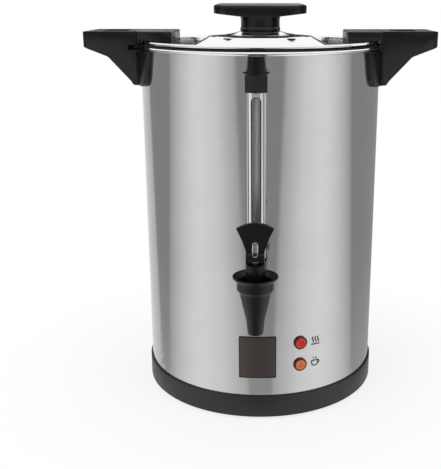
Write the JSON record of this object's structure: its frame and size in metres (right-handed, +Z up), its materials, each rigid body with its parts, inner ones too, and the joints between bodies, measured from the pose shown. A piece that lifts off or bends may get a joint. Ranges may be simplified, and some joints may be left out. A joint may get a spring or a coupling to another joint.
{
  "type": "coffee urn",
  "caption": "Steel percolator urn on a plastic base ring, with a twist-lock lid and knob, two loop grips, a guarded sight gauge, a lever faucet and pilot lamps.",
  "frame": {"origin": "on the counter, on the drum's axis, level with the undersides of the feet", "axes": "+Z up along the drum's axis; the faucet points to -Y and the grips lie along X"},
  "size_m": [0.36, 0.3237, 0.4129],
  "materials": {
    "drum_steel": "brushed",
    "pot_steel": "satin",
    "lid_steel": "polished",
    "flare_chrome": "polished",
    "grip_plastic": "fine satin",
    "base_plastic": "satin",
    "tap_plastic": "semi-gloss",
    "guard_steel": "bright",
    "gauge_glass": "clear",
    "silicone": "soft",
    "fastener_steel": "machined",
    "plate_steel": "satin",
    "foot_rubber": "soft",
    "heat_aluminium": "cast",
    "element_steel": "oxidised",
    "ceramic": "fired",
    "inlet_plastic": "satin",
    "contact_brass": "plated",
    "lens_red": "clear tinted",
    "lens_amber": "clear tinted",
    "bezel_plastic": "satin",
    "nylon": "natural"
  },
  "bodies": {
    "housing": {"urn_body": "drum_steel", "pot_floor": "pot_steel", "pump_disc": "pot_steel", "handle_left": "grip_plastic", "handle_right": "grip_plastic", "base_ring": "base_plastic", "faucet_body": "tap_plastic", "faucet_bonnet": "tap_plastic", "faucet_nut": "tap_plastic", "gauge_tee": "tap_plastic", "gauge_cap": "tap_plastic", "gauge_shoe": "tap_plastic", "gauge_guard": "guard_steel", "gauge_glass": "gauge_glass", "gauge_seals": "silicone", "shank_washers": "silicone", "stem_seal": "silicone", "handle_washers": "silicone", "base_screws": "fastener_steel", "cap_screw": "fastener_steel", "handle_screws": "fastener_steel", "shank_nut": "fastener_steel", "base_plate": "plate_steel", "feet": "foot_rubber", "heat_plate": "heat_aluminium", "brew_element": "element_steel", "warm_element": "element_steel", "thermostat": "ceramic", "thermal_fuse": "ceramic", "terminal_block": "ceramic", "inlet_socket": "inlet_plastic", "inlet_pins": "contact_brass", "heating_lamp": "lens_red", "warm_lamp": "lens_amber", "lamp_bezels": "bezel_plastic", "lamp_nuts": "nylon"},
    "pump": {"pump_stem": "pot_steel"},
    "coffee_basket": {"basket": "pot_steel"},
    "basket_lid": {"basket_cover": "pot_steel"},
    "lid_gasket": {"lid_seal": "silicone"},
    "twist_lid": {"lid": "lid_steel", "ear_left": "grip_plastic", "ear_right": "grip_plastic", "ear_screws": "fastener_steel", "knob": "grip_plastic", "knob_flare": "flare_chrome", "knob_screw": "fastener_steel"},
    "valve": {"valve_stem": "fastener_steel", "seat_cup": "silicone", "valve_spring": "fastener_steel"},
    "lever": {"faucet_lever": "tap_plastic", "lever_pin": "fastener_steel"}
  },
  "joints": [
    {"name": "pump_lift", "type": "slide", "parent": "housing", "child": "pump", "axis": [0, 0, 1], "range_m": [0, 0.24]},
    {"name": "basket_lift", "type": "slide", "parent": "pump", "child": "coffee_basket", "axis": [0, 0, 1], "range_m": [0, 0.12]},
    {"name": "cover_lift", "type": "slide", "parent": "coffee_basket", "child": "basket_lid", "axis": [0, 0, 1], "range_m": [0, 0.12]},
    {"name": "gasket_lift", "type": "slide", "parent": "basket_lid", "child": "lid_gasket", "axis": [0, 0, 1], "range_m": [0, 0.12]},
    {"name": "lid_twist", "type": "hinge", "parent": "lid_gasket", "child": "twist_lid", "pos_m": [0, 0, 0.372], "axis": [0, 0, 1], "range_deg": [0, 40]},
    {"name": "valve_rise", "type": "slide", "parent": "housing", "child": "valve", "axis": [0, 0, 1], "range_m": [0, 0.004], "stiffness_N_per_m": 400, "springref_m": -0.003, "deforming": ["valve_spring"]},
    {"name": "lever_tilt", "type": "hinge", "parent": "valve", "child": "lever", "pos_m": [0, -0.173, 0.1922], "axis": [1, 0, 0], "range_deg": [0, 55]}
  ],
  "couplings": [
    {"joint": "lever_tilt", "follows": "valve_rise", "rad_per_m": 239.98}
  ]
}
